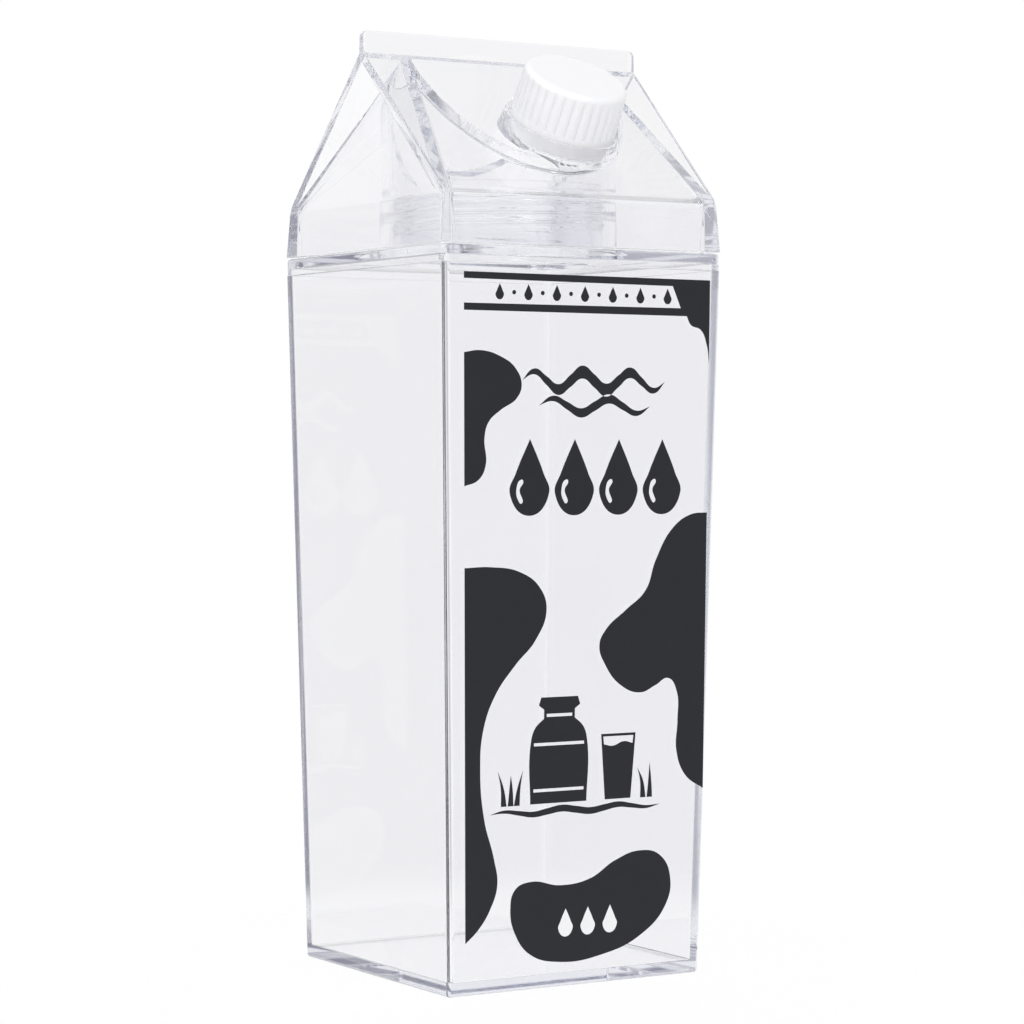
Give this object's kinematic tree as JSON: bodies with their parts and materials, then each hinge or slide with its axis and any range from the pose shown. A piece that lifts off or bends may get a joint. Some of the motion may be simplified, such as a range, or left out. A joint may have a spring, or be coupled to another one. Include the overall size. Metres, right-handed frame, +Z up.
{
  "type": "carton-style plastic bottle",
  "caption": "Clear plastic bottle shaped like a gable-top carton: tapered square box, screw-on gabled lid with fin, and a slanted spout with a white ribbed cap.",
  "frame": {"origin": "middle of the base, on the surface the bottle stands on", "axes": "+Z up along the bottle's height; -Y is the printed front, which the spout leans to; the ridge of the lid runs along X"},
  "size_m": [0.075, 0.075, 0.2176],
  "materials": {
    "clear_plastic": "clear, polished mould finish",
    "white_plastic": "satin, fine mould grain",
    "black_ink": "opaque screen print",
    "white_ink": "opaque screen print"
  },
  "bodies": {
    "root": {"bottle_box": "clear_plastic", "neck_plate": "clear_plastic", "gable_lid": "clear_plastic", "spout_cap": "white_plastic"}
  },
  "joints": []
}
